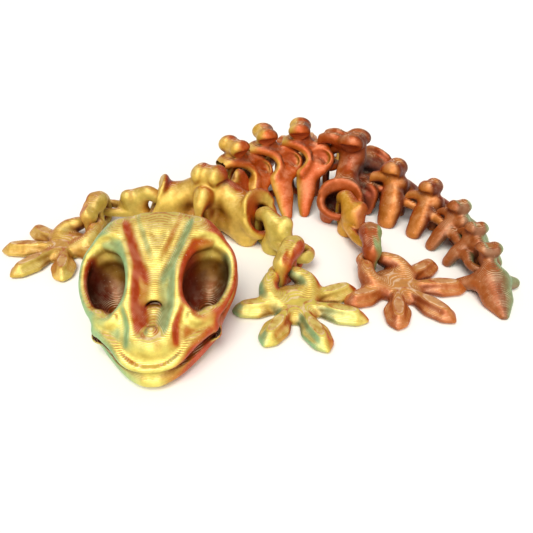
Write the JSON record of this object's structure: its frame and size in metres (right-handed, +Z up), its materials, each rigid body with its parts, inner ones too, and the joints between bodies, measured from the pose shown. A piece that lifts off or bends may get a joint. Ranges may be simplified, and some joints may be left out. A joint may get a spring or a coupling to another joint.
{
  "type": "printed jointed gecko skeleton toy",
  "caption": "Flexible printed gecko skeleton lying in a curve: big-eyed skull, ribbed vertebrae, jointed limbs with splayed toes and a leaf-shaped tail tip.",
  "frame": {"origin": "middle of the toy's outline on the print bed, at its flat base", "axes": "+Z up off the print bed, -Y towards the snout and the camera, +X towards the tail's side; the bent toy is longest along Y"},
  "size_m": [0.1968, 0.205, 0.0359],
  "materials": {
    "silk_gold": "silk printed filament, layer lines",
    "silk_copper": "silk printed filament, layer lines"
  },
  "bodies": {
    "skull": {"skull": "silk_gold"},
    "neck": {"neck": "silk_copper"},
    "shoulder_girdle": {"shoulder_girdle": "silk_gold"},
    "trunk_1": {"trunk_1": "silk_copper"},
    "trunk_2": {"trunk_2": "silk_copper"},
    "trunk_3": {"trunk_3": "silk_copper"},
    "hip_girdle": {"hip_girdle": "silk_copper"},
    "tail_1": {"tail_1": "silk_copper"},
    "tail_2": {"tail_2": "silk_copper"},
    "tail_3": {"tail_3": "silk_copper"},
    "tail_4": {"tail_4": "silk_copper"},
    "tail_tip": {"tail_tip": "silk_copper"},
    "left_humerus": {"left_humerus": "silk_gold"},
    "left_forearm": {"left_forearm": "silk_gold"},
    "left_forefoot": {"left_forefoot": "silk_gold"},
    "right_humerus": {"right_humerus": "silk_gold"},
    "right_forearm": {"right_forearm": "silk_gold"},
    "right_forefoot": {"right_forefoot": "silk_gold"},
    "left_femur": {"left_femur": "silk_copper"},
    "left_shin": {"left_shin": "silk_copper"},
    "left_hindfoot": {"left_hindfoot": "silk_copper"},
    "right_femur": {"right_femur": "silk_copper"},
    "right_shin": {"right_shin": "silk_copper"},
    "right_hindfoot": {"right_hindfoot": "silk_copper"}
  },
  "joints": [
    {"name": "trunk_1_hinge", "type": "hinge", "parent": "trunk_2", "child": "trunk_1", "pos_m": [0.00139, 0.02349, 0.006], "axis": [0, 0, 1], "range_deg": [-12, 0]},
    {"name": "shoulder_girdle_hinge", "type": "hinge", "parent": "trunk_1", "child": "shoulder_girdle", "pos_m": [-0.01125, 0.01288, 0.006], "axis": [0, 0, 1], "range_deg": [-12, 0]},
    {"name": "neck_hinge", "type": "hinge", "parent": "shoulder_girdle", "child": "neck", "pos_m": [-0.02199, -0.01832, 0.006], "axis": [0, 0, 1], "range_deg": [-12, 4]},
    {"name": "skull_hinge", "type": "hinge", "parent": "neck", "child": "skull", "pos_m": [-0.03032, -0.0466, 0.006], "axis": [0, 0, 1], "range_deg": [-12, 8]},
    {"name": "left_humerus_hinge", "type": "hinge", "parent": "shoulder_girdle", "child": "left_humerus", "pos_m": [0.00174, -0.01697, 0.006], "axis": [0, 0, 1], "range_deg": [-5, 1]},
    {"name": "left_forearm_hinge", "type": "hinge", "parent": "left_humerus", "child": "left_forearm", "pos_m": [0.01749, -0.03574, 0.006], "axis": [0, 0, 1], "range_deg": [-9, 2]},
    {"name": "left_forefoot_hinge", "type": "hinge", "parent": "left_forearm", "child": "left_forefoot", "pos_m": [0.01045, -0.04955, 0.006], "axis": [0, 0, 1], "range_deg": [-4, 2]},
    {"name": "right_humerus_hinge", "type": "hinge", "parent": "shoulder_girdle", "child": "right_humerus", "pos_m": [-0.03986, -0.00265, 0.006], "axis": [0, 0, 1], "range_deg": [-15, 15]},
    {"name": "right_forearm_hinge", "type": "hinge", "parent": "right_humerus", "child": "right_forearm", "pos_m": [-0.06399, 0.00161, 0.006], "axis": [0, 0, 1], "range_deg": [-20, 20]},
    {"name": "right_forefoot_hinge", "type": "hinge", "parent": "right_forearm", "child": "right_forefoot", "pos_m": [-0.06748, -0.0135, 0.006], "axis": [0, 0, 1], "range_deg": [-20, 20]},
    {"name": "trunk_3_hinge", "type": "hinge", "parent": "trunk_2", "child": "trunk_3", "pos_m": [0.01691, 0.02736, 0.006], "axis": [0, 0, 1], "range_deg": [0, 12]},
    {"name": "hip_girdle_hinge", "type": "hinge", "parent": "trunk_3", "child": "hip_girdle", "pos_m": [0.03333, 0.02563, 0.006], "axis": [0, 0, 1], "range_deg": [0, 12]},
    {"name": "tail_1_hinge", "type": "hinge", "parent": "hip_girdle", "child": "tail_1", "pos_m": [0.05757, 0.01163, 0.006], "axis": [0, 0, 1], "range_deg": [0, 14]},
    {"name": "tail_2_hinge", "type": "hinge", "parent": "tail_1", "child": "tail_2", "pos_m": [0.07136, 0.00006, 0.006], "axis": [0, 0, 1], "range_deg": [0, 14]},
    {"name": "tail_3_hinge", "type": "hinge", "parent": "tail_2", "child": "tail_3", "pos_m": [0.08059, -0.01362, 0.006], "axis": [0, 0, 1], "range_deg": [0, 14]},
    {"name": "tail_4_hinge", "type": "hinge", "parent": "tail_3", "child": "tail_4", "pos_m": [0.08371, -0.02829, 0.006], "axis": [0, 0, 1], "range_deg": [-3, 14]},
    {"name": "tail_tip_hinge", "type": "hinge", "parent": "tail_4", "child": "tail_tip", "pos_m": [0.08371, -0.04179, 0.006], "axis": [0, 0, 1], "range_deg": [-8, 15]},
    {"name": "left_femur_hinge", "type": "hinge", "parent": "hip_girdle", "child": "left_femur", "pos_m": [0.03618, -0.00142, 0.006], "axis": [0, 0, 1], "range_deg": [-0.5, 0.5]},
    {"name": "left_shin_hinge", "type": "hinge", "parent": "left_femur", "child": "left_shin", "pos_m": [0.04416, -0.02458, 0.006], "axis": [0, 0, 1], "range_deg": [-0.75, 1]},
    {"name": "left_hindfoot_hinge", "type": "hinge", "parent": "left_shin", "child": "left_hindfoot", "pos_m": [0.04329, -0.04106, 0.006], "axis": [0, 0, 1], "range_deg": [-1.5, 1.5]},
    {"name": "right_femur_hinge", "type": "hinge", "parent": "hip_girdle", "child": "right_femur", "pos_m": [0.05818, 0.03669, 0.006], "axis": [0, 0, -1], "range_deg": [-4, 15]},
    {"name": "right_shin_hinge", "type": "hinge", "parent": "right_femur", "child": "right_shin", "pos_m": [0.05061, 0.05999, 0.006], "axis": [0, 0, -1], "range_deg": [-8, 15]},
    {"name": "right_hindfoot_hinge", "type": "hinge", "parent": "right_shin", "child": "right_hindfoot", "pos_m": [0.03693, 0.06921, 0.006], "axis": [0, 0, -1], "range_deg": [-8, 15]}
  ]
}
